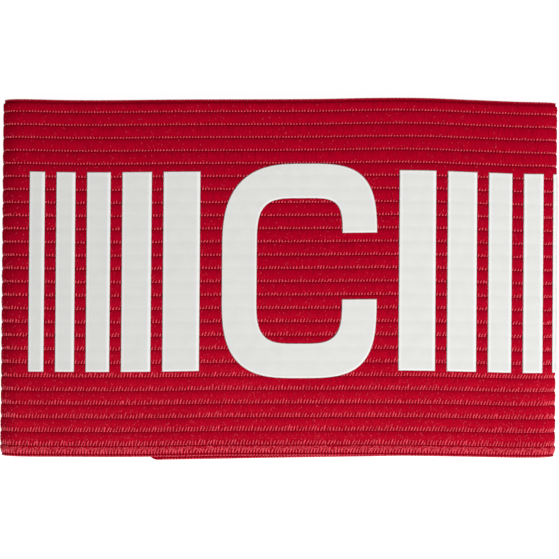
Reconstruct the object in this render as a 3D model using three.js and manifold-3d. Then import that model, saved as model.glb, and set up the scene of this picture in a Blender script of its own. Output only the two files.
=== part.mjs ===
// Captain armband: a strip of wide ribbed elastic closed into a loop, lying flattened on its
// back with the letter C up. Millimetres. +X runs along the flattened loop, +Y to the top of
// the letter and +Z up. The origin is the middle of the underside.
import * as THREE from 'three';
import { mergeVertices } from 'three/addons/utils/BufferGeometryUtils.js';
import Module from 'manifold-3d';

// The flattened loop
const loopWidth = 130;
const foldRadius = 5; // of the strip's middle layer
const frontSlope = THREE.MathUtils.degToRad(9); // climb of the front beside each fold

// The strip
const stripWidth = 82.9;
const stripThickness = 1.8;
const ribCount = 27;
const lowestRib = 2.7; // width of the first rib
const highestRib = 2.95; // and of the last one
const ribBow = 0.6; // by which the middle ribs crowd towards +across
const grooveWidth = 0.8;
const grooveDepth = 0.45;
const selvedgeChamfer = 0.4;
const cornerRadius = 2.3; // at the strip's two free ends

// The overlap at the back, measured from the loop's middle
const flapReach = 30.5; // to the outer end, on the left
const innerReach = 24; // to the inner end, on the right
const stepRadius = 15.6; // of the two bends by which the inner end steps down
const closureThickness = 2;
const closureMargin = 5; // from the two ends of the overlap
const closureInset = 6; // from the selvedges

// The film print
const filmThickness = 0.35;
const letterWidth = 35.8;
const letterHeight = 49.7;
const letterStroke = 7.9;
const cornerHeight = 19.7; // of the outer corners, as wide as half the letter
const outerPowers = [3.6, 2.75, 3.1, 3.55]; // squareness of each corner, where 2 is an ellipse,
const innerPowers = [4.8, 3.7, 3.8, 4.0]; // from the upper right one round to the lower right one
const upperEnd = 3.65; // of the upper arm, above the place where its outer corner starts
const lowerEnd = 1.6; // of the lower arm, below that place
const letterX = 4.7;
const letterY = 1.5;
const barCount = 5; // on each side of the letter
const barHeight = 46.2;
const barWidth = 8.4; // of the bar beside the letter
const barTaper = 0.8; // width of each further bar as a share of the one before
const barGap = 2.9;
const letterGap = 5.3; // between the letter and its first bar

// Clearance between pieces that touch on the real armband
const touchGap = 0.3;

// Steps of the swept shapes
const filmStep = 1.6;
const arcSteps = 8; // of each quarter-round corner of the letter

// Sideways shift of the two selvedges: along is a share of the strip's length from its inner
// end, low and high are shares of its width
const sway = [
  { along: 0.0, low: -0.005, high: -0.006 },
  { along: 0.15, low: -0.004, high: -0.005 },
  { along: 0.26, low: -0.007, high: -0.003 },
  { along: 0.305, low: -0.0116, high: -0.0042 },
  { along: 0.34, low: -0.0109, high: -0.0071 },
  { along: 0.375, low: -0.01, high: -0.0069 },
  { along: 0.41, low: -0.0076, high: -0.0051 },
  { along: 0.445, low: -0.0039, high: -0.0038 },
  { along: 0.48, low: -0.0023, high: -0.0027 },
  { along: 0.52, low: -0.001, high: -0.0004 },
  { along: 0.56, low: -0.0002, high: 0.0042 },
  { along: 0.595, low: -0.0003, high: 0.0054 },
  { along: 0.63, low: -0.0018, high: 0.0019 },
  { along: 0.675, low: -0.0038, high: -0.0016 },
  { along: 0.73, low: 0.002, high: 0.002 },
  { along: 0.87, low: -0.009, high: -0.009 },
  { along: 1.0, low: -0.0215, high: -0.0215 },
];

// The strip's middle line
const halfThickness = stripThickness / 2;
const foldX = loopWidth / 2 - halfThickness - foldRadius;
const foldTurn = Math.PI - frontSlope;
const frontRadius = foldX / Math.sin(frontSlope) + foldRadius;
const stackHeight = stripThickness + closureThickness + 2 * touchGap;
const stepTurn = Math.acos(1 - stackHeight / (2 * stepRadius));
const stepReach = 2 * stepRadius * Math.sin(stepTurn);

// Its stretches from the inner end to the flap's end, as seen from -Y with turns anticlockwise
const route = {
  innerEnd: { length: innerReach + flapReach, turn: 0, steps: 3 },
  stepDown: { length: stepRadius * stepTurn, turn: stepTurn, steps: 3 },
  stepOut: { length: stepRadius * stepTurn, turn: -stepTurn, steps: 3 },
  floor: { length: foldX - flapReach - stepReach, turn: 0, steps: 1 },
  leftFold: { length: foldRadius * foldTurn, turn: -foldTurn, steps: 9 },
  front: { length: frontRadius * 2 * frontSlope, turn: -2 * frontSlope, steps: 9 },
  rightFold: { length: foldRadius * foldTurn, turn: -foldTurn, steps: 9 },
  flap: { length: foldX + flapReach, turn: 0, steps: 4 },
};
const stretches = Object.values(route);
const stripLength = stretches.reduce((sum, { length }) => sum + length, 0);

const { cos, sin, min, max, abs, sqrt } = Math;

// The middle line's place and heading at a distance from the inner end
function follow(distance) {
  let x = innerReach;
  let z = halfThickness + stackHeight;
  let heading = Math.PI;
  let left = distance;
  for (const { length, turn } of stretches) {
    const part = min(left, length);
    const halfTurned = (turn * part) / length / 2;
    const chord = halfTurned === 0 ? part : (part * sin(halfTurned)) / halfTurned;
    x += chord * cos(heading + halfTurned);
    z += chord * sin(heading + halfTurned);
    heading += 2 * halfTurned;
    left -= part;
  }
  return { x, z, heading };
}

// How far a selvedge ('low' or 'high') is shifted, through the table's rows without a kink
function swayOf(edge, distance) {
  const along = THREE.MathUtils.clamp(distance / stripLength, 0, 1);
  const row = max(1, sway.findIndex((each) => each.along >= along));
  const [a, b] = [sway[row - 1], sway[row]];
  const before = sway[row - 2] ?? a;
  const after = sway[row + 1] ?? b;
  const span = b.along - a.along;
  const leave = ((b[edge] - before[edge]) / (b.along - before.along)) * span;
  const arrive = ((after[edge] - a[edge]) / (after.along - a.along)) * span;
  const t = (along - a.along) / span;
  const rise = t * t * (3 - 2 * t);
  const share = a[edge] + (b[edge] - a[edge]) * rise
    + leave * t * (1 - t) ** 2 - arrive * t * t * (1 - t);
  return share * stripWidth;
}

// How far a rounded corner takes the strip's end back, at a distance from its middle rib
function cornerInset(across) {
  const past = THREE.MathUtils.clamp(abs(across) - stripWidth / 2 + cornerRadius, 0, cornerRadius);
  return cornerRadius - sqrt(cornerRadius ** 2 - past ** 2);
}

// A point of the strip: across from its middle rib, lift outwards from its middle layer
function pointOnStrip(distance, across, lift) {
  const inset = cornerInset(across);
  const kept = THREE.MathUtils.clamp(distance, inset, stripLength - inset);
  const { x, z, heading } = follow(kept);
  const high = across / stripWidth + 0.5;
  const shift = THREE.MathUtils.lerp(swayOf('low', kept), swayOf('high', kept), high);
  return [x - sin(heading) * lift, across + shift, z + cos(heading) * lift];
}

// Sweeps a closed profile of [across, lift] points through a list of distances. The profile
// runs to +across on its outer side and back on its inner side.
function sweep(profile, distances) {
  const points = distances.flatMap((distance) =>
    profile.flatMap(([across, lift]) => pointOnStrip(distance, across, lift)));
  const count = profile.length;
  const faces = [];
  for (let column = 0; column < distances.length - 1; column += 1) {
    for (let row = 0; row < count; row += 1) {
      const a = column * count + row;
      const d = column * count + ((row + 1) % count);
      faces.push(a, a + count, d + count, a, d + count, d);
    }
  }
  const outline = profile.map(([across, lift]) => new THREE.Vector2(across, lift)).reverse();
  const last = (distances.length - 1) * count;
  for (const [a, b, c] of THREE.ShapeUtils.triangulateShape(outline, [])) {
    const [i, j, k] = [a, b, c].map((corner) => count - 1 - corner);
    faces.push(i, k, j, last + i, last + j, last + k);
  }
  const geometry = new THREE.BufferGeometry();
  geometry.setAttribute('position', new THREE.Float32BufferAttribute(points, 3));
  geometry.setIndex(faces);
  return geometry;
}

// Even distances from one to another
function evenSteps(from, to, steps) {
  return Array.from({ length: steps + 1 }, (_, i) => THREE.MathUtils.lerp(from, to, i / steps));
}

// The whole strip's columns, closer together where it bends
function stripDistances() {
  const distances = [0];
  for (const { length, steps } of stretches) {
    const start = distances.at(-1);
    distances.push(...evenSteps(start, start + length, steps).slice(1));
  }
  return distances;
}

// The strip's section: flat ribs with a groove between each two on the outer face
function ribbedProfile() {
  const edge = stripWidth / 2;
  const top = halfThickness;
  const bevel = selvedgeChamfer;
  const points = [[-edge, top - bevel], [-edge + bevel, top]];
  for (let groove = 1; groove < ribCount; groove += 1) {
    const share = (groove - 1) / (ribCount - 2);
    const even = THREE.MathUtils.lerp(lowestRib - edge, edge - highestRib, share);
    const middle = even + ribBow * 4 * share * (1 - share);
    points.push([middle - grooveWidth / 2, top]);
    points.push([middle, top - grooveDepth]);
    points.push([middle + grooveWidth / 2, top]);
  }
  points.push([edge - bevel, top], [edge, top - bevel]);
  points.push([edge, -top + bevel], [edge - bevel, -top]);
  points.push([-edge + bevel, -top], [-edge, -top + bevel]);
  return points;
}

// A flat piece of film that lies on the ribs between two distances and two rows
function film(from, to, low, high) {
  const under = halfThickness + touchGap;
  const over = under + filmThickness;
  const profile = [[low, over], [high, over], [high, under], [low, under]];
  return sweep(profile, evenSteps(from, to, Math.ceil((to - from) / filmStep)));
}

// The distance along the strip of a place on the front
function frontDistance(x) {
  const names = Object.keys(route);
  const before = stretches.slice(0, names.indexOf('front'));
  const start = before.reduce((sum, { length }) => sum + length, 0);
  return start + frontRadius * (frontSlope + Math.asin(x / frontRadius));
}

// One edge of the letter's stroke, a curve between an ellipse and a rectangle, from the upper
// arm's end round to the lower one's
function letterEdge(inset, powers) {
  const width = letterWidth / 2 - inset;
  const straight = letterHeight / 2 - cornerHeight; // half of the upright side
  const height = cornerHeight - inset;
  const quarter = Math.PI / 2;
  const endAngle = (end, power) => Math.asin((end / height) ** (power / 2));
  const turns = [
    { from: endAngle(upperEnd, powers[0]), to: quarter, side: 1, up: 1 },
    { from: quarter, to: 0, side: -1, up: 1 },
    { from: 0, to: quarter, side: -1, up: -1 },
    { from: quarter, to: endAngle(lowerEnd, powers[3]), side: 1, up: -1 },
  ];
  return turns.flatMap(({ from, to, side, up }, turn) => {
    const first = turn % 2; // the second and fourth turns start where the one before ends
    return evenSteps(from, to, arcSteps).slice(first).map((angle) => new THREE.Vector2(
      side * width * Math.cos(angle) ** (2 / powers[turn]),
      up * (straight + height * sin(angle) ** (2 / powers[turn])),
    ));
  });
}

// The letter's outline, open on the right
function letterShape() {
  return new THREE.Shape([
    ...letterEdge(0, outerPowers),
    ...letterEdge(letterStroke, innerPowers).reverse(),
  ]);
}

const solids = await Module();
solids.setup();

function toSolid(geometry) {
  const bare = geometry.clone();
  bare.deleteAttribute('normal');
  bare.deleteAttribute('uv');
  const merged = mergeVertices(bare);
  return new solids.Manifold(new solids.Mesh({
    numProp: 3,
    vertProperties: new Float32Array(merged.attributes.position.array),
    triVerts: new Uint32Array(merged.index.array),
  }));
}

function fromSolid(solid) {
  const mesh = solid.getMesh();
  const geometry = new THREE.BufferGeometry();
  geometry.setAttribute('position', new THREE.BufferAttribute(mesh.vertProperties, 3));
  geometry.setIndex(new THREE.BufferAttribute(mesh.triVerts, 1));
  return geometry;
}

// The letter is cut from a sheet of film laid over the ribs
function letterGeometry() {
  const sheet = film(
    frontDistance(letterX - letterWidth / 2) - filmStep,
    frontDistance(letterX + letterWidth / 2) + filmStep,
    letterY - letterHeight / 2 - filmStep,
    letterY + letterHeight / 2 + filmStep,
  );
  const cutter = new THREE.ExtrudeGeometry(letterShape(), {
    depth: loopWidth,
    bevelEnabled: false,
    curveSegments: arcSteps,
  });
  cutter.translate(letterX, letterY, 0);
  return fromSolid(toSolid(sheet).intersect(toSolid(cutter)));
}

// The hook-and-loop closure lies flat between the flap and the inner end
function closureGeometry() {
  const from = -flapReach + closureMargin;
  const to = innerReach - closureMargin;
  const width = stripWidth - 2 * closureInset;
  const box = new THREE.BoxGeometry(to - from, width, closureThickness);
  return box.translate((from + to) / 2, 0, stripThickness + touchGap + closureThickness / 2);
}

function material(color, roughness) {
  return new THREE.MeshStandardMaterial({ color, roughness, metalness: 0, flatShading: true });
}

function named(name, geometry, look) {
  const mesh = new THREE.Mesh(geometry, look);
  mesh.name = name;
  return mesh;
}

const redElastic = () => material('#a60d26', 0.9);
const whiteFilm = () => material('#dededc', 0.55);
const redNylon = () => material('#8f0f22', 0.95);

const armband = new THREE.Group();
armband.add(named('elastic_band', sweep(ribbedProfile(), stripDistances()), redElastic()));
armband.add(named('letter_c', letterGeometry(), whiteFilm()));
for (const [side, name] of [[-1, 'left'], [1, 'right']]) {
  let near = frontDistance(letterX) + side * (letterWidth / 2 + letterGap);
  for (let bar = 0; bar < barCount; bar += 1) {
    const far = near + side * barWidth * barTaper ** bar;
    const geometry = film(
      min(near, far), max(near, far), letterY - barHeight / 2, letterY + barHeight / 2,
    );
    armband.add(named(`bar_${name}_${bar + 1}`, geometry, whiteFilm()));
    near = far + side * barGap;
  }
}
armband.add(named('closure_patch', closureGeometry(), redNylon()));

// Centres the armband over the origin
const middle = new THREE.Box3().setFromObject(armband).getCenter(new THREE.Vector3());
armband.position.set(-middle.x, -middle.y, 0);

export default armband;
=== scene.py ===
import math

import bpy
import numpy as np
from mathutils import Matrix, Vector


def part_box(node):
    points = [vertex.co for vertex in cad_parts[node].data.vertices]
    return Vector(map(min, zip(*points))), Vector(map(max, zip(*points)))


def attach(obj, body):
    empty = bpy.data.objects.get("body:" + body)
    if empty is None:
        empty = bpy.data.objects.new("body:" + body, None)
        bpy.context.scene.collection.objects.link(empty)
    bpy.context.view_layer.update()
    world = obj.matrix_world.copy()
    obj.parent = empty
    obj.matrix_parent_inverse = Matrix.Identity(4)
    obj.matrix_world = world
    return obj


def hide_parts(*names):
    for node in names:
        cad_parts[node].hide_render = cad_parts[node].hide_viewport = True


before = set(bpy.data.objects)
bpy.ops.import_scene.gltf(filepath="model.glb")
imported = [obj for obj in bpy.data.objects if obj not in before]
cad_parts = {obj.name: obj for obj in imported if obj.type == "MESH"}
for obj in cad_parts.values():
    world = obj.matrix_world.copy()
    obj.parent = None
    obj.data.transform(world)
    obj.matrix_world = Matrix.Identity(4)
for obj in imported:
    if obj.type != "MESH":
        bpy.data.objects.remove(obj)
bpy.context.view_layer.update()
mm = 0.001

# The scene works in the strip's own flat space first: x is the distance along the strip from its
# inner end, y is across it from the middle rib, z is the lift outwards from its middle layer.
# wrapRoundLoop then takes each piece to its place on the flattened loop.


def deselectAll():
    if bpy.context.object and bpy.context.object.mode == "EDIT":
        bpy.ops.object.mode_set(mode="OBJECT")
    bpy.ops.object.select_all(action="DESELECT")


def makeActive(piece):
    deselectAll()
    piece.select_set(True)
    bpy.context.view_layer.objects.active = piece


def named(name):
    piece = bpy.context.object
    piece.name = name
    piece.data.name = name
    return piece


def smoothByAngle(piece, degrees):
    makeActive(piece)
    bpy.ops.object.shade_smooth_by_angle(angle=math.radians(degrees))


def applyModifier(piece, kind, **settings):
    makeActive(piece)
    modifier = piece.modifiers.new(kind.lower(), kind)
    for key, value in settings.items():
        setattr(modifier, key, value)
    bpy.ops.object.modifier_apply(modifier=modifier.name)


def pointsOf(piece):
    points = np.empty(len(piece.data.vertices) * 3)
    piece.data.vertices.foreach_get("co", points)
    return points.reshape(-1, 3)


def setPoints(piece, points):
    piece.data.vertices.foreach_set("co", np.ascontiguousarray(points, np.float32).ravel())
    piece.data.update()


def keepAttribute(piece, name, kind, values):
    attribute = piece.data.attributes.new(name, kind, "POINT")
    key = "vector" if kind == "FLOAT_VECTOR" else "value"
    attribute.data.foreach_set(key, np.ascontiguousarray(values, np.float32).ravel())


def smoothStep(value):
    value = np.clip(value, 0, 1)
    return value * value * (3 - 2 * value)


def blendOf(low, high, share):
    return low + (high - low) * share


def followRoute(start, heading, stretches, distance):  # place and heading on straights and arcs
    first = np.full(distance.shape, float(start[0]))
    second = np.full(distance.shape, float(start[1]))
    heading = np.full(distance.shape, float(heading))
    left = np.array(distance, float)
    for length, turn in stretches:
        part = np.clip(left, 0, length)
        halfTurn = turn * part / length / 2
        chord = part * np.sinc(halfTurn / math.pi)
        first += chord * np.cos(heading + halfTurn)
        second += chord * np.sin(heading + halfTurn)
        heading += 2 * halfTurn
        left -= part
    return first, second, heading


loop = {
    "foldRadius": 5 * mm,  # of the strip's middle layer
    "frontSlope": math.radians(9),  # climb of the front beside each fold
    "flapReach": 30.5 * mm,  # from the loop's middle to the outer end, on the left
    "innerReach": 24 * mm,  # to the inner end, on the right
    "stepRadius": 15.6 * mm,  # of the bends by which the inner end steps down
    "touchGap": 0.3 * mm,  # that the solids keep
}

bandLow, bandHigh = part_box("elastic_band")
closureLow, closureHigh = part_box("closure_patch")
thickness = closureLow.z - loop["touchGap"] - bandLow.z
halfThickness = thickness / 2
foldX = (bandHigh.x - bandLow.x) / 2 - halfThickness - loop["foldRadius"]
foldTurn = math.pi - loop["frontSlope"]
frontRadius = foldX / math.sin(loop["frontSlope"]) + loop["foldRadius"]
stackHeight = closureHigh.z - closureLow.z + 2 * loop["touchGap"] + thickness
stepTurn = math.acos(1 - stackHeight / (2 * loop["stepRadius"]))
stepReach = 2 * loop["stepRadius"] * math.sin(stepTurn)

loopRoute = [  # length and turn of each stretch, seen from -Y with turns anticlockwise
    (loop["innerReach"] + loop["flapReach"], 0),
    (loop["stepRadius"] * stepTurn, stepTurn),
    (loop["stepRadius"] * stepTurn, -stepTurn),
    (foldX - loop["flapReach"] - stepReach, 0),
    (loop["foldRadius"] * foldTurn, -foldTurn),
    (frontRadius * 2 * loop["frontSlope"], -2 * loop["frontSlope"]),
    (loop["foldRadius"] * foldTurn, -foldTurn),
    (foldX + loop["flapReach"], 0),
]
routeSteps = [16, 8, 8, 6, 26, 60, 26, 36]  # columns of the band in each stretch
routeEnds = np.cumsum([0] + [length for length, turn in loopRoute])
stripLength = routeEnds[-1]
frontStart, frontEnd = routeEnds[5], routeEnds[6]

sway = [  # sideways shift of the two selvedges, as shares of the strip's length and width
    {"along": 0.0, "low": -0.005, "high": -0.006},
    {"along": 0.15, "low": -0.004, "high": -0.005},
    {"along": 0.26, "low": -0.007, "high": -0.003},
    {"along": 0.305, "low": -0.0116, "high": -0.0042},
    {"along": 0.34, "low": -0.0109, "high": -0.0071},
    {"along": 0.375, "low": -0.01, "high": -0.0069},
    {"along": 0.41, "low": -0.0076, "high": -0.0051},
    {"along": 0.445, "low": -0.0039, "high": -0.0038},
    {"along": 0.48, "low": -0.0023, "high": -0.0027},
    {"along": 0.52, "low": -0.001, "high": -0.0004},
    {"along": 0.56, "low": -0.0002, "high": 0.0042},
    {"along": 0.595, "low": -0.0003, "high": 0.0054},
    {"along": 0.63, "low": -0.0018, "high": 0.0019},
    {"along": 0.675, "low": -0.0038, "high": -0.0016},
    {"along": 0.73, "low": 0.002, "high": 0.002},
    {"along": 0.87, "low": -0.009, "high": -0.009},
    {"along": 1.0, "low": -0.0215, "high": -0.0215},
]

strip = {
    "width": 82.9 * mm,
    "ribs": 27,
    "lowerRib": 2.7 * mm,  # width of the first rib
    "upperRib": 2.95 * mm,  # and of the last one
    "ribBow": 0.6 * mm,  # by which the middle ribs crowd upwards
    "grooveDepth": 0.32 * mm,
    "steepSide": 0.28 * mm,  # of a rib, towards +across
    "cord": 0.36 * mm,  # width of the cord along each selvedge
    "cordLift": 0.64 * mm,
    "cordGap": 0.4 * mm,  # between the cord and the first rib
    "crown": 0.07 * mm,  # height of a rib's middle over its shoulders
    "crownStart": 0.6,  # share of a rib's lower side at which the crown starts
    "cornerRadius": 2.3 * mm,
    "cornerBlend": 5 * mm,  # length over which a rounded corner takes the strip's end back
    "cornerColumns": 8,
    "closest": 0.2 * mm,  # that two columns of the mesh stand
    "slopeRows": (0, 0.3, 0.65, 1),  # shares of a rib's lower side where the mesh has a line
    "cordRows": (0, 0.06, 0.2, 0.5, 0.8, 1),  # and of the cord
}
slopes = {  # width of a rib's other side, on which the yarn floats lie, from the bottom rib up
    "share": (0, 0.15, 0.5, 0.78, 0.88, 1),
    "width": (1.1 * mm, 0.95 * mm, 0.58 * mm, 0.45 * mm, 0.38 * mm, 0.36 * mm),
}
halfWidth = strip["width"] / 2


def swayOf(edge, distance):
    places = np.array([row["along"] for row in sway])
    shifts = np.array([row[edge] for row in sway]) * strip["width"]
    before = np.maximum(np.arange(len(sway)) - 1, 0)
    after = np.minimum(np.arange(len(sway)) + 1, len(sway) - 1)
    leans = (shifts[after] - shifts[before]) / (places[after] - places[before])
    along = np.clip(distance / stripLength, 0, 1)
    row = np.clip(np.searchsorted(places, along) - 1, 0, len(sway) - 2)
    span = places[row + 1] - places[row]
    share = (along - places[row]) / span
    rise = share * share * (3 - 2 * share)
    leave = leans[row] * span * share * (1 - share) ** 2
    arrive = leans[row + 1] * span * share * share * (1 - share)
    return shifts[row] + (shifts[row + 1] - shifts[row]) * rise + leave - arrive


def swayAt(distance, across):
    return blendOf(swayOf("low", distance), swayOf("high", distance), across / strip["width"] + 0.5)


routeSamples = np.linspace(0, stripLength, 400)
loopShift = [
    (bandLow.x + bandHigh.x) / 2,
    (bandLow.y + bandHigh.y) / 2 - (
        np.max(halfWidth + swayOf("high", routeSamples))
        + np.min(-halfWidth + swayOf("low", routeSamples))
    ) / 2,
    bandLow.z,
]


def wrapRoundLoop(piece):
    along, across, lift = pointsOf(piece).T
    start = (loop["innerReach"], halfThickness + stackHeight)
    x, z, heading = followRoute(start, math.pi, loopRoute, along)
    placed = np.stack([
        x - np.sin(heading) * lift,
        across + swayAt(along, across),
        z + np.cos(heading) * lift,
    ], axis=1)
    setPoints(piece, placed + loopShift)
    return piece


def alongFront(x):  # distance along the strip of a place on the front
    return frontStart + frontRadius * (loop["frontSlope"] + math.asin(x / frontRadius))


footEdge = halfWidth - strip["cord"] - strip["cordGap"]
grooveShare = np.linspace(0, 1, strip["ribs"] - 1)
grooves = np.concatenate([
    [-footEdge],
    blendOf(strip["lowerRib"] - halfWidth, halfWidth - strip["upperRib"], grooveShare)
    + strip["ribBow"] * 4 * grooveShare * (1 - grooveShare),
    [footEdge],
])
ribWidths = np.diff(grooves)


def ribOf(across):
    return np.clip(np.searchsorted(grooves, across, side="right") - 1, 0, strip["ribs"] - 1)


def ribShare(across):  # 0 at the rib's lower groove and 1 at its upper one
    rib = ribOf(across)
    return (across - grooves[rib]) / ribWidths[rib]


def slopeOf(rib):
    return np.interp(np.asarray(rib) / (strip["ribs"] - 1), slopes["share"], slopes["width"])


def outerLift(across):  # of the outer face over the strip's middle layer
    rib = ribOf(across)
    slope, width = slopeOf(rib), ribWidths[rib]
    fromGroove = ribShare(across) * width
    rise = np.minimum(smoothStep(fromGroove / slope), smoothStep((width - fromGroove) / strip["steepSide"]))
    crownStart = slope * strip["crownStart"]
    middle = np.sin(math.pi * np.clip((fromGroove - crownStart) / (width - crownStart), 0, 1))
    ribs = halfThickness + strip["crown"] * middle - strip["grooveDepth"] * (1 - rise)
    floor = halfThickness - strip["grooveDepth"]
    inCord = (halfWidth - np.abs(across)) / strip["cord"]
    cordTop = strip["cordLift"] * np.sqrt(np.clip(1 - (1 - 2 * np.clip(inCord, 0.01, 1)) ** 2, 0, 1))
    cord = np.where(inCord < 0.5, cordTop, np.maximum(cordTop, floor))
    return np.where(np.abs(across) > footEdge, np.where(inCord < 1, cord, floor), ribs)


def ribRows():  # where the band's mesh has its lines along each rib
    rows = []
    for low, high, slope in zip(grooves, grooves[1:], slopeOf(np.arange(strip["ribs"]))):
        rows += [low + share * slope for share in strip["slopeRows"]]
        edge = high - strip["steepSide"]
        rows += [(rows[-1] + edge) / 2, edge, (edge + high) / 2]
    cordRows = strip["cord"] * np.array(strip["cordRows"])
    return np.concatenate([cordRows - halfWidth, rows, [grooves[-1]], (halfWidth - cordRows)[::-1]])


def stripColumns():
    columns = [np.linspace(0, strip["cornerBlend"], strip["cornerColumns"] + 1)]
    for step, start, end in zip(routeSteps, routeEnds, routeEnds[1:]):
        columns.append(np.linspace(start, end, step + 1))
    columns.append(stripLength - columns[0][::-1])
    places = np.unique(np.round(np.concatenate(columns), 7))
    return places[np.concatenate([[True], np.diff(places) > strip["closest"]])]


def roundCorners(points):  # takes the strip's two ends back at their corners
    past = np.clip(np.abs(points[:, 1]) - halfWidth + strip["cornerRadius"], 0, strip["cornerRadius"])
    inset = strip["cornerRadius"] - np.sqrt(strip["cornerRadius"] ** 2 - past ** 2)
    fromStart = np.clip(1 - points[:, 0] / strip["cornerBlend"], 0, 1)
    fromEnd = np.clip(1 - (stripLength - points[:, 0]) / strip["cornerBlend"], 0, 1)
    points[:, 0] += inset * (fromStart - fromEnd)


def addNode(tree, kind, settings=None, **inputs):
    node = tree.nodes.new(kind)
    for key, value in (settings or {}).items():
        setattr(node, key, value)
    for key, value in inputs.items():
        socket = node.inputs[int(key[1:])] if key[0] == "i" and key[1:].isdigit() else node.inputs[key]
        if isinstance(value, bpy.types.NodeSocket):
            tree.links.new(value, socket)
        else:
            socket.default_value = value
    return node


def maths(tree, operation, first, second=0.0, third=0.0, clamp=False):
    node = addNode(tree, "ShaderNodeMath", {"operation": operation, "use_clamp": clamp},
                   i0=first, i1=second, i2=third)
    return node.outputs[0]


def ease(tree, value, low, high):  # 0 below low and 1 above high
    node = addNode(tree, "ShaderNodeMapRange", {"interpolation_type": "SMOOTHSTEP"},
                   i0=value, i1=low, i2=high, i3=0.0, i4=1.0)
    return node.outputs[0]


def mixColour(tree, share, first, second):
    node = addNode(tree, "ShaderNodeMix", {"data_type": "RGBA"}, i0=share, i6=first, i7=second)
    return node.outputs[2]


def blendNodes(tree, share, first, second):
    return maths(tree, "MULTIPLY_ADD", first, 1 - share, maths(tree, "MULTIPLY", second, share))


def without(tree, value):
    return maths(tree, "SUBTRACT", 1.0, value)


def noise(tree, place, scale, detail, roughness=0.5, dimensions="2D"):
    node = addNode(tree, "ShaderNodeTexNoise", {"noise_dimensions": dimensions},
                   Vector=place, Scale=scale, Detail=detail, Roughness=roughness)
    return node.outputs[0]


def splitVector(tree, vector):
    return list(addNode(tree, "ShaderNodeSeparateXYZ", i0=vector).outputs)


def readAttribute(tree, name, output="Vector"):
    return addNode(tree, "ShaderNodeAttribute", {"attribute_name": name}).outputs[output]


def newMaterial(name):
    material = bpy.data.materials.new(name)
    material.use_nodes = True
    return material, material.node_tree, material.node_tree.nodes["Principled BSDF"]


def addBump(tree, shader, height, strength, distance):
    bump = addNode(tree, "ShaderNodeBump", Strength=strength, Distance=distance, Height=height)
    tree.links.new(bump.outputs[0], shader.inputs["Normal"])


def setSurface(tree, shader, colour, roughness, specular):
    tree.links.new(colour, shader.inputs["Base Color"])
    shader.inputs["Roughness"].default_value = roughness
    shader.inputs["Specular IOR Level"].default_value = specular


elastic = {  # lengths in millimetres, as the attributes hold
    "rib": (0.48, 0.0006, 0.0180, 1),
    "ribDeep": (0.31, 0.0004, 0.0125, 1),
    # the fuzz colour is partly real fuzz and partly painted sheen on the lit lower ribs and rib sides
    "fuzzAndSheen": (0.90, 0.014, 0.040, 1),
    # dark colour of the painted shade in the slits and grooves
    "slitShadeColour": (0.19, 0.0003, 0.007, 1),
    "yarnPitch": 0.7,
    "slant": math.tan(math.radians(20)),
    "shift": 0.618,  # of each row's yarns against the next, in pitches
    "strokeWidth": 0.3,  # of the covered rubber threads, which show as fine upright strokes
    "strokeLength": 2.4,
    "strokeShift": 7.3,  # from rib to rib
    "grain": 0.5,  # share of plain grain in the strokes
    "wearAndSheenTop": 15.0,  # height over the middle rib at which the lower ribs' wear and painted sheen end
    "wearAndSheenHigh": 0.05,  # wear and painted sheen above that height
    "wearAndSheenLow": 0.36,  # and what the lowest rib has on top of it
    "slitDark": 0.85,  # of the painted shade in the groove
    "slitFade": 0.25,  # for each millimetre above it
    "lowerSlitDark": 0.65,  # of the painted shade on the side of the rib below
    "lowerSlitFade": 0.35,  # down to the lowest rib
    "gapDark": 0.3,  # of the painted shade in the gaps between the cord and the ribs
    "gapWave": 0.65,
}


def yarnWave(tree, along, row, offset):  # 1 beside a float's middle and -1 between two floats
    leaned = maths(tree, "MULTIPLY_ADD", offset, -elastic["slant"], along)
    shift = maths(tree, "MULTIPLY", row, elastic["shift"])
    turns = maths(tree, "SUBTRACT", maths(tree, "DIVIDE", leaned, elastic["yarnPitch"]), shift)
    return maths(tree, "COSINE", maths(tree, "MULTIPLY", turns, 2 * math.pi))


def threadStrokes(tree, place, along, across, rib):
    strokeAt = addNode(
        tree, "ShaderNodeCombineXYZ",
        i0=maths(tree, "DIVIDE", along, elastic["strokeWidth"]),
        i1=maths(tree, "MULTIPLY_ADD", rib, elastic["strokeShift"],
                 maths(tree, "DIVIDE", across, elastic["strokeLength"])),
        i2=0.0,
    ).outputs[0]
    strokes = noise(tree, strokeAt, scale=1.0, detail=2.0, roughness=0.6)
    return blendNodes(tree, elastic["grain"], strokes, noise(tree, place, scale=4.0, detail=1.0))


def fibresAndSheen(tree, place, fibres, lowness, upRib):  # real fuzz mixed with painted sheen: most on the lower ribs and on each rib's lower side, which faces the light
    low = maths(tree, "MULTIPLY_ADD", lowness, elastic["wearAndSheenLow"], elastic["wearAndSheenHigh"])
    wearAndSheen = maths(tree, "MULTIPLY", low, maths(tree, "MULTIPLY_ADD", upRib, -0.75, 1.0))
    hairs = maths(tree, "MULTIPLY_ADD", ease(tree, fibres, 0.5, 0.72), 1.5, 0.5)
    patches = noise(tree, place, scale=0.07, detail=2.0)
    hairs = maths(tree, "MULTIPLY", hairs, maths(tree, "MULTIPLY_ADD", patches, 1.2, 0.4))
    return maths(tree, "MULTIPLY", wearAndSheen, hairs, clamp=True)


def shadeAboveGrooves(tree, along, rib, fromGroove, slope):  # painted shade in the slits where the floats dive, which run on past them
    gaps = ease(tree, yarnWave(tree, along, rib, fromGroove), 0.25, -0.75)
    end = ease(tree, maths(tree, "SUBTRACT", fromGroove, slope), -0.05, 0.22)
    fade = maths(tree, "MULTIPLY_ADD", fromGroove, -elastic["slitFade"], elastic["slitDark"])
    return maths(tree, "MULTIPLY", maths(tree, "MULTIPLY", gaps, without(tree, end)), fade)


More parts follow.
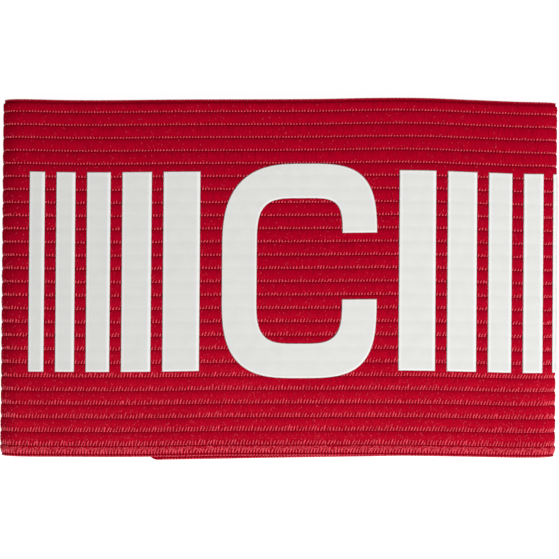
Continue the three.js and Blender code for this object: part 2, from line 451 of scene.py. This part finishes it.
def shadeBelowGrooves(tree, along, rib, toNext, lowness):  # and painted shade on the rib under their row, on its side turned away from the light
    nextRow = maths(tree, "ADD", rib, 1.0)
    gaps = ease(tree, yarnWave(tree, along, nextRow, maths(tree, "MULTIPLY", toNext, -1.0)), 0.5, -0.5)
    end = ease(tree, toNext, 0.2, 0.5)
    fade = maths(tree, "MULTIPLY_ADD", lowness, -elastic["lowerSlitFade"], elastic["lowerSlitDark"])
    return maths(tree, "MULTIPLY", maths(tree, "MULTIPLY", gaps, without(tree, end)), fade)


def cordGapShade(tree, along, rib, fromGroove, fromEdge):  # painted shade in the row of gaps that parts each cord from the ribs
    middle = (strip["cord"] + strip["cordGap"] / 2) / mm
    away = maths(tree, "ABSOLUTE", maths(tree, "SUBTRACT", fromEdge, middle))
    wave = ease(tree, yarnWave(tree, along, rib, fromGroove), 0.6, -0.6)
    depth = maths(tree, "MULTIPLY_ADD", wave, elastic["gapWave"], elastic["gapDark"])
    return maths(tree, "MULTIPLY", without(tree, ease(tree, away, 0.12, 0.3)), depth)


def elasticMaterial():
    material, tree, shader = newMaterial("ribbed elastic")
    place = readAttribute(tree, "stripPlace")
    along, across = splitVector(tree, place)[:2]
    ribPlace, width, slope = splitVector(tree, readAttribute(tree, "ribPlace"))
    rib = maths(tree, "FLOOR", ribPlace)
    upRib = maths(tree, "FRACT", ribPlace)
    fromGroove = maths(tree, "MULTIPLY", upRib, width)
    toNext = maths(tree, "SUBTRACT", width, fromGroove)
    fromEdge = maths(tree, "SUBTRACT", halfWidth / mm, maths(tree, "ABSOLUTE", across))
    lowness = without(tree, ease(tree, across, -halfWidth / mm, elastic["wearAndSheenTop"]))
    strokes = threadStrokes(tree, place, along, across, rib)
    fibres = noise(tree, place, scale=2.6, detail=3.0, roughness=0.7)
    wearAndSheen = fibresAndSheen(tree, place, fibres, lowness, upRib)
    slitShade = maths(tree, "MAXIMUM", shadeAboveGrooves(tree, along, rib, fromGroove, slope),
                  shadeBelowGrooves(tree, along, rib, toNext, lowness))
    paintedShade = maths(tree, "MAXIMUM", slitShade, cordGapShade(tree, along, rib, fromGroove, fromEdge))
    colour = mixColour(tree, ease(tree, strokes, 0.34, 0.62), elastic["ribDeep"], elastic["rib"])
    # real fuzz and painted sheen, lighter on the lower ribs and on each rib's lower side
    colour = mixColour(tree, wearAndSheen, colour, elastic["fuzzAndSheen"])
    # painted shade in the slits, the grooves and the cord gaps
    colour = mixColour(tree, paintedShade, colour, elastic["slitShadeColour"])
    setSurface(tree, shader, colour, roughness=0.9, specular=0.0)
    addBump(tree, shader, maths(tree, "MULTIPLY_ADD", fibres, 0.5, strokes), 0.4, 0.05 * mm)
    return material


# the dull colour stands for yarn in painted shade and the bright one for yarn with painted sheen
yarnLook = {
    "shadedYarn": (0.5, 0.005, 0.022, 1),
    "sheenYarn": (1.0, 0.09, 0.14, 1),
    "shine": (1.0, 0.35, 0.4, 1),
}


def yarnMaterial():
    material, tree, shader = newMaterial("shiny yarn")
    # mix from painted shade to painted sheen, with some random tone
    colour = mixColour(tree, readAttribute(tree, "tint", "Fac"), yarnLook["shadedYarn"], yarnLook["sheenYarn"])
    setSurface(tree, shader, colour, roughness=0.42, specular=0.5)
    shader.inputs["Specular Tint"].default_value = yarnLook["shine"]
    return material


filmLook = {
    "white": (0.810, 0.812, 0.788, 1),
    "shade": (0.785, 0.788, 0.765, 1),
    # painted highlight along the film's upper edge
    "rim": (0.93, 0.94, 0.92, 1),
    # painted shadow on the skirt round the film's foot
    "shadowSkirt": (0.05, 0.003, 0.006, 1),
}


def filmMaterial():  # the rim attribute is 1 on the skirt of painted shadow, -1 on the rim of painted highlight and 0 elsewhere
    material, tree, shader = newMaterial("heat-pressed film")
    place = readAttribute(tree, "stripPlace")
    rim = readAttribute(tree, "rim", "Fac")
    clouds = noise(tree, place, scale=0.3, detail=3.0, dimensions="3D")
    colour = mixColour(tree, ease(tree, clouds, 0.35, 0.7), filmLook["white"], filmLook["shade"])
    colour = mixColour(tree, ease(tree, rim, -0.05, -0.9), colour, filmLook["rim"])
    colour = mixColour(tree, ease(tree, rim, 0.1, 0.35), colour, filmLook["shadowSkirt"])
    setSurface(tree, shader, colour, roughness=0.5, specular=0.2)
    addBump(tree, shader, noise(tree, place, scale=4.0, detail=2.0, dimensions="3D"), 0.3, 0.02 * mm)
    return material


nylonLook = {
    "deep": (0.10, 0.004, 0.012, 1),
    "pile": (0.34, 0.015, 0.04, 1),
}


def nylonMaterial():
    material, tree, shader = newMaterial("hook-and-loop tape")
    place = addNode(tree, "ShaderNodeTexCoord").outputs["Object"]
    pile = noise(tree, place, scale=4200.0, detail=2.0, dimensions="3D")
    colour = mixColour(tree, pile, nylonLook["deep"], nylonLook["pile"])
    setSurface(tree, shader, colour, roughness=0.9, specular=0.1)
    addBump(tree, shader, pile, 0.8, 0.15 * mm)
    return material


looks = {
    "elastic": elasticMaterial(),
    "yarn": yarnMaterial(),
    "film": filmMaterial(),
    "nylon": nylonMaterial(),
}


def finishPiece(piece, look, slot, *nodes):
    piece.data.materials.clear()
    piece.data.materials.append(looks[look])
    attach(piece, "root")
    if nodes:
        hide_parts(*nodes)
    return piece


def keepPlace(piece):
    along, across, lift = pointsOf(piece).T
    rib = ribOf(across)
    keepAttribute(piece, "stripPlace", "FLOAT_VECTOR", np.stack([along, across, 0 * lift], axis=1) / mm)
    keepAttribute(piece, "ribPlace", "FLOAT_VECTOR", np.stack([
        rib + ribShare(across), ribWidths[rib] / mm, slopeOf(rib) / mm,
    ], axis=1))


def flatGrid(name, alongPlaces, acrossPlaces):  # a grid whose lines stand at the given places
    deselectAll()
    columns, rows = len(alongPlaces) - 1, len(acrossPlaces) - 1
    bpy.ops.mesh.primitive_grid_add(x_subdivisions=columns, y_subdivisions=rows, size=1)
    piece = named(name)
    points = pointsOf(piece)
    column = np.rint((points[:, 0] + 0.5) * columns).astype(int)
    row = np.rint((points[:, 1] + 0.5) * rows).astype(int)
    points[:, 0] = np.asarray(alongPlaces)[column]
    points[:, 1] = np.asarray(acrossPlaces)[row]
    setPoints(piece, points)
    return piece


def makeBand():
    band = flatGrid("ribbedElastic", stripColumns(), ribRows())
    applyModifier(band, "SOLIDIFY", thickness=thickness, offset=-1)
    points = pointsOf(band)
    outside = points[:, 2] > -halfThickness
    lift = outerLift(points[:, 1])
    points[:, 2] = np.where(outside, lift, -lift)
    setPoints(band, points)
    keepPlace(band)
    roundCorners(points)
    setPoints(band, points)
    wrapRoundLoop(band)
    smoothByAngle(band, 60)
    return finishPiece(band, "elastic", "red_elastic", "elastic_band")


band = makeBand()
print("band:", len(band.data.polygons), "faces")


stitchPitch = elastic["yarnPitch"] * mm


# Copies of one yarn bead, each in its own place. A face of -1 puts them on the strip's inner side.
def layStitches(name, count, segments, rings, face=1, **rows):
    deselectAll()
    bpy.ops.mesh.primitive_uv_sphere_add(segments=segments, ring_count=rings, radius=0.5,
                                         rotation=(math.pi / 2, 0, 0))
    bpy.ops.object.transform_apply(rotation=True)
    piece = named(name)
    bpy.ops.object.shade_smooth()
    applyModifier(piece, "ARRAY", count=count, use_relative_offset=False)
    side, reach, up = np.moveaxis(pointsOf(piece).reshape(count, -1, 3), 2, 0)
    row = {key: np.broadcast_to(value, count)[:, None] for key, value in rows.items()}
    share = reach + 0.5
    high = row["low"] + row["length"]
    chord = blendOf(outerLift(row["low"]) + row["rise"], outerLift(high) - row["dive"], share)
    chord = chord + row["arch"] * 4 * share * (1 - share)
    across = blendOf(row["low"], high, share)
    lift = blendOf(chord, outerLift(across) + row["rise"], row["drape"]) + up * row["height"]
    along = row["along"] + side * face * row["width"] + share * row["length"] * row["slant"]
    setPoints(piece, np.stack([along, across, lift * face], axis=-1).reshape(-1, 3))
    keepAttribute(piece, "tint", "FLOAT", np.clip(row["tint"], 0, 1) * np.ones(side.shape))
    wrapRoundLoop(piece)
    return finishPiece(piece, "yarn", "red_elastic")


def stitchPlaces(start, end, ribs):  # place along the strip and rib of each stitch
    numbers = np.arange(math.ceil(start / stitchPitch), math.floor(end / stitchPitch))
    shift = np.mod(ribs * elastic["shift"], 1)
    along = (numbers[None, :] + shift[:, None]) * stitchPitch
    return along.ravel(), np.repeat(ribs, len(numbers))


floats = {  # a spread is the share, or the length, by which a stitch strays from the rest
    "width": 0.33 * mm,
    "height": 0.22 * mm,
    "fromGroove": 0.02 * mm,
    "rise": 0.02 * mm,  # over the elastic at the lower end
    "dive": 0.05 * mm,  # into it at the upper end
    "arch": 0.07 * mm,
    # the floats lean to the bright colour, a painted sheen on their lit slopes
    "tint": 0.8,
    "shiftSpread": 0.04 * mm,
    "lengthSpread": 0.18,
    "slantSpread": 0.12,
    "widthSpread": 0.12,
    "tintSpread": 0.24,
}


def layFloats(name, start, end, segments, rings, seed):
    along, rib = stitchPlaces(start, end, np.arange(strip["ribs"]))
    draw = np.random.default_rng(seed)
    count = len(along)
    return layStitches(
        name, count, segments, rings,
        along=along + draw.normal(0, floats["shiftSpread"], count),
        low=grooves[rib] + floats["fromGroove"],
        length=slopeOf(rib) * np.clip(draw.normal(1, floats["lengthSpread"], count), 0.5, 1.5),
        slant=elastic["slant"] + draw.normal(0, floats["slantSpread"], count),
        width=floats["width"] * draw.normal(1, floats["widthSpread"], count),
        height=floats["height"],
        rise=floats["rise"], dive=floats["dive"], arch=floats["arch"], drape=0,
        tint=draw.normal(floats["tint"], floats["tintSpread"], count),
    )


feet = {  # the floats' lower ends, bright with painted sheen, which are long teeth on the first rib
    "below": 0.1 * mm,  # the groove
    "length": 0.34 * mm,
    "width": 0.5 * mm,
    "toothBelow": 0.16 * mm,
    "toothLength": 0.7 * mm,
    "toothWidth": 0.38 * mm,
    "height": 0.2 * mm,
    "rise": 0.02 * mm,
    "arch": 0.04 * mm,
    "tint": 0.95,
    "shiftSpread": 0.03 * mm,
    "lengthSpread": 0.1,
    "widthSpread": 0.12,
    "tintSpread": 0.12,
}


def layFeet(name, start, end, seed):
    along, rib = stitchPlaces(start, end, np.arange(strip["ribs"]))
    draw = np.random.default_rng(seed)
    count = len(along)
    first = rib == 0
    return layStitches(
        name, count, 5, 3,
        along=along + draw.normal(0, feet["shiftSpread"], count),
        low=grooves[rib] - np.where(first, feet["toothBelow"], feet["below"]),
        length=np.where(first, feet["toothLength"], feet["length"])
        * draw.normal(1, feet["lengthSpread"], count),
        slant=elastic["slant"],
        width=np.where(first, feet["toothWidth"], feet["width"])
        * draw.normal(1, feet["widthSpread"], count),
        height=feet["height"],
        rise=feet["rise"], dive=0.0, arch=feet["arch"], drape=0,
        tint=draw.normal(feet["tint"], feet["tintSpread"], count),
    )


cordLoops = {
    "width": 0.66 * mm,
    "height": 0.14 * mm,
    "slant": 0.5,
    "shiftSpread": 0.04 * mm,
    "widthSpread": 0.08,
    "tintSpread": 0.12,
}


def layCordLoops(name, start, end, side, tint, seed, face=1):
    along, rib = stitchPlaces(start, end, np.array([0]))
    draw = np.random.default_rng(seed)
    count = len(along)
    length = strip["cord"]
    return layStitches(
        name, count, 5, 4, face,
        along=along + draw.normal(0, cordLoops["shiftSpread"], count),
        low=side * (halfWidth - length / 2) - length / 2,
        length=length, slant=cordLoops["slant"],
        width=cordLoops["width"] * draw.normal(1, cordLoops["widthSpread"], count),
        height=cordLoops["height"],
        rise=0.0, dive=0.0, arch=0.0, drape=1,
        tint=draw.normal(tint, cordLoops["tintSpread"], count),
    )


looseFibres = {
    "strayCount": 4200,
    "strayWidth": 0.12 * mm,
    "crowding": 2.2,  # of the stray ones towards the lower ribs
    "fuzzCount": 1500,  # on the first rib
    "fuzzWidth": 0.22 * mm,
    "height": 0.1 * mm,
    "rise": 0.03 * mm,
    "shortest": 0.15 * mm,
    "longest": 0.5 * mm,
    "slantSpread": 0.5,
    "reach": 12 * mm,  # past the front at both folds
}


def layFibres(name, rib, seed, lowest, highest, width):  # short ends that stand on the ribs
    draw = np.random.default_rng(seed)
    count = len(rib)
    reach = looseFibres["reach"]
    slope = slopeOf(rib) * lowest
    room = ribWidths[rib] - slope - strip["steepSide"] - highest
    return layStitches(
        name, count, 4, 3,
        along=draw.uniform(frontStart - reach, frontEnd + reach, count),
        low=grooves[rib] + slope + room * draw.random(count),
        length=draw.uniform(looseFibres["shortest"], looseFibres["longest"], count),
        slant=draw.normal(elastic["slant"], looseFibres["slantSpread"], count),
        width=width * draw.uniform(0.7, 1.3, count), height=looseFibres["height"],
        rise=looseFibres["rise"], dive=0.0, arch=0.0, drape=1,
        tint=draw.uniform(0.4, 1.1, count),
    )


def layStrayFibres():
    up = np.random.default_rng(11).random(looseFibres["strayCount"])
    rib = np.floor(strip["ribs"] * up ** looseFibres["crowding"]).astype(int)
    width = looseFibres["strayWidth"]
    return layFibres("strayFibres", rib, seed=12, lowest=0.6, highest=0.5 * mm, width=width)


def layFirstRibFuzz():
    rib = np.zeros(looseFibres["fuzzCount"], int)
    width = looseFibres["fuzzWidth"]
    return layFibres("lowerFuzz", rib, seed=13, lowest=0.25, highest=0.3 * mm, width=width)


lowStart, lowEnd = routeEnds[1] + 2 * mm, stripLength - 2.5 * mm  # what the inner end doesn't hide
turnStart, turnEnd = frontStart - 6 * mm, frontEnd + 6 * mm
stitches = [
    layFloats("frontFloats", turnStart, turnEnd, segments=6, rings=4, seed=3),
    layFloats("leftFloats", lowStart, turnStart, segments=5, rings=3, seed=4),
    layFloats("rightFloats", turnEnd, lowEnd, segments=5, rings=3, seed=5),
    layFeet("frontFeet", turnStart, turnEnd, seed=6),
    layFeet("leftFeet", lowStart, turnStart, seed=7),
    layFeet("rightFeet", turnEnd, lowEnd, seed=8),
    # the cord tints paint light: the lower and flap cords carry painted sheen, the upper cord painted shade
    layCordLoops("lowerCord", lowStart, lowEnd, side=-1, tint=0.6, seed=9),
    layCordLoops("upperCord", lowStart, lowEnd, side=1, tint=0.12, seed=10),
    layCordLoops("flapCord", frontEnd, lowEnd, side=-1, tint=1.0, seed=14, face=-1),
    layStrayFibres(),
    layFirstRibFuzz(),
]
print("stitches:", sum(len(piece.data.polygons) for piece in stitches), "faces")


film = {
    "thickness": 0.28 * mm,
    "clear": 0.02 * mm,  # over the ribs' crowns
    "arch": 0.07 * mm,  # of the ribs that shows through
    "ribTop": 0.6,  # place on a rib where the film lies highest
    "nextPull": 0.5,  # of the rib above on the film, as a share
    "nextDrop": 0.08,
    "bridge": 0.35,  # share of the arch that the film spans at a groove
    "bridgeWidth": 0.09,  # on both sides of it, as a share of a rib
    "edge": 0.12 * mm,  # radius of the upper edge
    "shadowSkirt": 0.16 * mm,  # width of the skirt of painted shadow round it
    "shadowSkirtDrop": 0.06 * mm,
    "rim": 0.13 * mm,  # width of the rim of painted highlight
    "row": 0.32 * mm,  # of the mesh across the strip
    "column": 0.8 * mm,  # and along it
    "hairline": 0.001 * mm,
}
letter = {
    "stroke": 7.9 * mm,
    "cornerHeight": 19.7 * mm,  # of the outer corners, as wide as half the letter
    "outerPowers": (3.6, 2.75, 3.1, 3.55),  # squareness of each corner, where 2 is an ellipse, from the
    "innerPowers": (4.8, 3.7, 3.8, 4.0),  # upper right one round to the lower right one
    "upperEnd": 3.65 * mm,  # of the upper arm, above the place where its outer corner starts
    "lowerEnd": 1.6 * mm,  # of the lower arm, below that place
    "samples": 300,  # of each corner
}
bars = {
    "count": 5,  # on each side of the letter
    "height": 46.2 * mm,
    "width": 8.4 * mm,  # of the bar beside the letter
    "taper": 0.8,  # width of each further bar as a share of the one before
    "gap": 2.9 * mm,
    "letterGap": 5.3 * mm,
}


def edgeSpaced(length, step):  # even places with closer ones beside both ends
    near = film["edge"] * np.array([0, 0.12, 0.4, 1])
    inner = np.linspace(near[-1], length - near[-1], max(2, round(length / step)) + 1)
    return np.unique(np.concatenate([near, inner, length - near]))


def filmSag(upRib):  # 0 where the film lies highest on a rib and about 1 where it lies lowest
    fromTop = (upRib - film["ribTop"]) ** 2
    fromNext = (upRib - film["ribTop"] - 1) ** 2 * film["nextPull"] + film["nextDrop"]
    sag = np.minimum(fromTop, fromNext) / film["ribTop"] ** 2
    return sag * (1 - film["bridge"] * np.exp(-(np.minimum(upRib, 1 - upRib) / film["bridgeWidth"]) ** 2))


def shapeFilm(piece, length, width, place):  # gives the two layers their lift; place bends or shifts them
    points = pointsOf(piece)
    top = points[:, 2] > -film["thickness"] / 2
    fromEdge = np.minimum(
        np.minimum(points[:, 0], length - points[:, 0]),
        np.minimum(points[:, 1], width - points[:, 1]),
    )
    border = ~top & (fromEdge < film["hairline"])
    for axis, size in ((0, length), (1, width)):
        points[:, axis] -= film["shadowSkirt"] * (border & (points[:, axis] < film["hairline"]))
        points[:, axis] += film["shadowSkirt"] * (border & (points[:, axis] > size - film["hairline"]))
    points[:, 0], points[:, 1] = place(points[:, 0], points[:, 1])
    keepAttribute(piece, "rim", "FLOAT", np.where(border, 1, -1 * (top & (fromEdge < film["rim"]))))
    under = halfThickness + strip["crown"] + film["clear"]
    sag = filmSag(ribShare(points[:, 1]))
    rounding = 1 - np.sqrt(1 - (1 - np.clip(fromEdge / film["edge"], 0, 1)) ** 2)
    over = under + film["thickness"] - film["arch"] * sag - rounding * film["edge"]
    points[:, 2] = np.where(top, over, np.where(border, under - film["shadowSkirtDrop"], under))
    setPoints(piece, points)
    keepPlace(piece)
    wrapRoundLoop(piece)
    smoothByAngle(piece, 40)


def filmGrid(name, length, width, step):
    piece = flatGrid(name, edgeSpaced(length, step), edgeSpaced(width, film["row"]))
    applyModifier(piece, "SOLIDIFY", thickness=film["thickness"], offset=-1)
    return piece


def makeBar(name, node, start, end, low, high):
    piece = filmGrid(name, end - start, high - low, film["column"])
    shapeFilm(piece, end - start, high - low, lambda along, across: (along + start, across + low))
    return finishPiece(piece, "film", "white_film", node)


def letterEdge(width, height, inset, powers):  # one edge of the stroke, from the upper arm to the lower
    halfX = width / 2 - inset
    straight = height / 2 - letter["cornerHeight"]  # half of the upright side
    halfY = letter["cornerHeight"] - inset
    quarter = math.pi / 2
    ends = [
        math.asin((letter[end] / halfY) ** (power / 2))
        for end, power in (("upperEnd", powers[0]), ("lowerEnd", powers[3]))
    ]
    turns = [(ends[0], quarter, 1, 1), (quarter, 0, -1, 1), (0, quarter, -1, -1), (quarter, ends[1], 1, -1)]
    x, y = [], []
    for (start, end, side, up), power in zip(turns, powers):
        angle = np.linspace(start, end, letter["samples"])
        x.append(side * halfX * np.cos(angle) ** (2 / power))
        y.append(up * (straight + halfY * np.sin(angle) ** (2 / power)))
    return np.stack([np.concatenate(x), np.concatenate(y)])


def makeLetter(centre, width, height):
    outer = letterEdge(width, height, 0, letter["outerPowers"])
    inner = letterEdge(width, height, letter["stroke"], letter["innerPowers"])
    steps = np.hypot(*np.diff((outer + inner) / 2))
    run = np.concatenate([[0], np.cumsum(steps)])

    def bend(along, across):
        share = across / letter["stroke"]
        beyond = np.where(along < 0, along, np.maximum(along - run[-1], 0))
        x, y = [
            blendOf(np.interp(along, run, outside), np.interp(along, run, inside), share)
            for outside, inside in zip(outer, inner)
        ]
        return centre[0] + x, centre[1] + y + beyond

    piece = filmGrid("letterFilm", run[-1], letter["stroke"], film["row"])
    shapeFilm(piece, run[-1], letter["stroke"], bend)
    return finishPiece(piece, "film", "white_film", "letter_c")


letterLow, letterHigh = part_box("letter_c")
letterX = (letterLow.x + letterHigh.x) / 2 - loopShift[0]
letterY = (letterLow.y + letterHigh.y) / 2 - loopShift[1]
letterAlong = alongFront(letterX)
letterSize = letterHigh - letterLow
prints = [makeLetter((letterAlong, letterY), letterSize.x, letterSize.y)]
for side, sideName in ((-1, "left"), (1, "right")):
    near = letterAlong + side * (letterSize.x / 2 + bars["letterGap"])
    for number in range(1, bars["count"] + 1):
        far = near + side * bars["width"] * bars["taper"] ** (number - 1)
        prints.append(makeBar(
            f"{sideName}Bar{number}", f"bar_{sideName}_{number}", min(near, far), max(near, far),
            letterY - bars["height"] / 2, letterY + bars["height"] / 2,
        ))
        near = far + side * bars["gap"]
print("film:", len(prints), "prints")


closureLayers = {
    "spans": ((0, 0.36), (0.3, 0.7), (0.64, 1)),  # hook tape, pile and loop tape, as shares of the height
    "insets": (0, 0.7 * mm, 0.2 * mm),
    "edge": 0.18 * mm,
}


def makeClosure():
    middle, size = (closureLow + closureHigh) / 2, closureHigh - closureLow
    layers = []
    for (low, high), inset in zip(closureLayers["spans"], closureLayers["insets"]):
        deselectAll()
        bpy.ops.mesh.primitive_cube_add(
            size=1,
            location=(middle.x, middle.y, closureLow.z + size.z * (low + high) / 2),
            scale=(size.x - 2 * inset, size.y - 2 * inset, size.z * (high - low)),
        )
        bpy.ops.object.transform_apply(location=True, scale=True)
        layers.append(named("hookAndLoop"))
        applyModifier(layers[-1], "BEVEL", width=closureLayers["edge"], segments=3, limit_method="ANGLE")
    makeActive(layers[0])
    for layer in layers[1:]:
        layer.select_set(True)
    bpy.ops.object.join()
    piece = named("hookAndLoop")
    smoothByAngle(piece, 40)
    return finishPiece(piece, "nylon", "red_nylon", "closure_patch")


closure = makeClosure()

seam = {
    "inset": 2 * mm,  # from the closure's edges
    "zigzag": 1.6 * mm,  # width of the two long rows
    "slant": 0.6,
    "run": 2.2 * mm,  # length of a stitch of the two end rows
    "gap": 0.35 * mm,
    "overlap": 1.04,  # length of a stitch as a share of its step
    "thread": 0.34 * mm,
    "height": 0.16 * mm,
    "rise": 0.02 * mm,
    "tint": 0.45,
    "tintSpread": 0.1,
}


def laySeam(name, start, end, face, seed):  # round the closure, between two distances along the strip
    reach = (closureHigh.y - closureLow.y) / 2 - seam["inset"]
    step = seam["zigzag"] * seam["slant"]
    number = np.arange(int((end - start) / step))
    zigzag = start + (number + number % 2) * step
    lean = np.where(number % 2, -1, 1) * seam["slant"]
    runs = np.arange(-reach, reach - seam["run"], seam["run"] + seam["gap"])
    along = np.concatenate([zigzag, zigzag, 0 * runs + start, 0 * runs + end])
    low = np.concatenate([0 * zigzag - reach, 0 * zigzag + reach - seam["zigzag"], runs, runs])
    length = np.concatenate([0 * zigzag + seam["zigzag"]] * 2 + [0 * runs + seam["run"]] * 2)
    draw = np.random.default_rng(seed)
    return layStitches(
        name, len(along), 6, 6, face,
        along=along, low=low, length=length * seam["overlap"],
        slant=np.concatenate([lean, lean, 0 * runs, 0 * runs]),
        width=seam["thread"], height=seam["height"],
        rise=seam["rise"], dive=0.0, arch=0.0, drape=1,
        tint=draw.normal(seam["tint"], seam["tintSpread"], len(along)),
    )


closureEnds = [x - loopShift[0] for x in (closureHigh.x - seam["inset"], closureLow.x + seam["inset"])]
stitches += [
    laySeam("outerSeam", *[stripLength - loop["flapReach"] - x for x in closureEnds], face=1, seed=15),
    laySeam("innerSeam", *[loop["innerReach"] - x for x in closureEnds], face=-1, seed=16),
]
print("closure:", len(closure.data.polygons), "faces")


studio = {
    "floorSize": 8,
    "floorDrop": 0.2 * mm,
    "floorWhite": 0.3,
    "floorGlow": 0.96,
    "key": (0.28, -0.3, 0.81),  # towards the light, as long as it is strong
    "keyDistance": 1.0,
    "keySize": 0.5,
    "fill": 0.15,
    "camera": 1.0,  # distance from the front's middle
    "elevation": math.radians(89),
    "frameWidth": 130.9 * mm,  # what the picture shows at the folds' height
    "aimX": -0.2 * mm,
    "aimY": 0.1 * mm,
    "roll": math.radians(0.45),
}


def makeFloor():
    deselectAll()
    height = bandLow.z - studio["floorDrop"]
    bpy.ops.mesh.primitive_plane_add(size=studio["floorSize"], location=(0, 0, height))
    floor = named("floor")
    material, tree, shader = newMaterial("floor")
    shader.inputs["Base Color"].default_value = (studio["floorWhite"],) * 3 + (1,)
    shader.inputs["Roughness"].default_value = 0.9
    shader.inputs["Emission Color"].default_value = (1, 1, 1, 1)
    shader.inputs["Emission Strength"].default_value = studio["floorGlow"]
    floor.data.materials.append(material)


def makeKey():
    data = bpy.data.lights.new("key", "AREA")
    data.shape = "DISK"
    data.size = studio["keySize"]
    light = bpy.data.objects.new("key", data)
    bpy.context.scene.collection.objects.link(light)
    direction = np.array(studio["key"])
    strength = np.linalg.norm(direction)
    data.energy = strength * (math.pi * studio["keyDistance"]) ** 2
    light.location = direction / strength * studio["keyDistance"]
    light.rotation_euler = light.location.to_track_quat("Z", "Y").to_euler()


def makeCamera():
    data = bpy.data.cameras.new("camera")
    camera = bpy.data.objects.new("camera", data)
    bpy.context.scene.collection.objects.link(camera)
    middleZ = (bandLow.z + bandHigh.z) / 2
    back = (0, -math.cos(studio["elevation"]), math.sin(studio["elevation"]))
    target = (studio["aimX"], studio["aimY"], middleZ)
    camera.location = [t + b * studio["camera"] for t, b in zip(target, back)]
    camera.rotation_euler = (math.pi / 2 - studio["elevation"], 0, 0)
    camera.rotation_euler.rotate_axis("Z", studio["roll"])
    data.lens = data.sensor_width * studio["camera"] / studio["frameWidth"]
    bpy.context.scene.camera = camera


makeFloor()
makeKey()
makeCamera()
world = bpy.data.worlds.new("studio")
world.use_nodes = True
world.node_tree.nodes["Background"].inputs[0].default_value = (1, 1, 1, 1)
world.node_tree.nodes["Background"].inputs[1].default_value = studio["fill"]
bpy.context.scene.world = world
bpy.context.scene.view_settings.view_transform = "Standard"

print("armband ready")
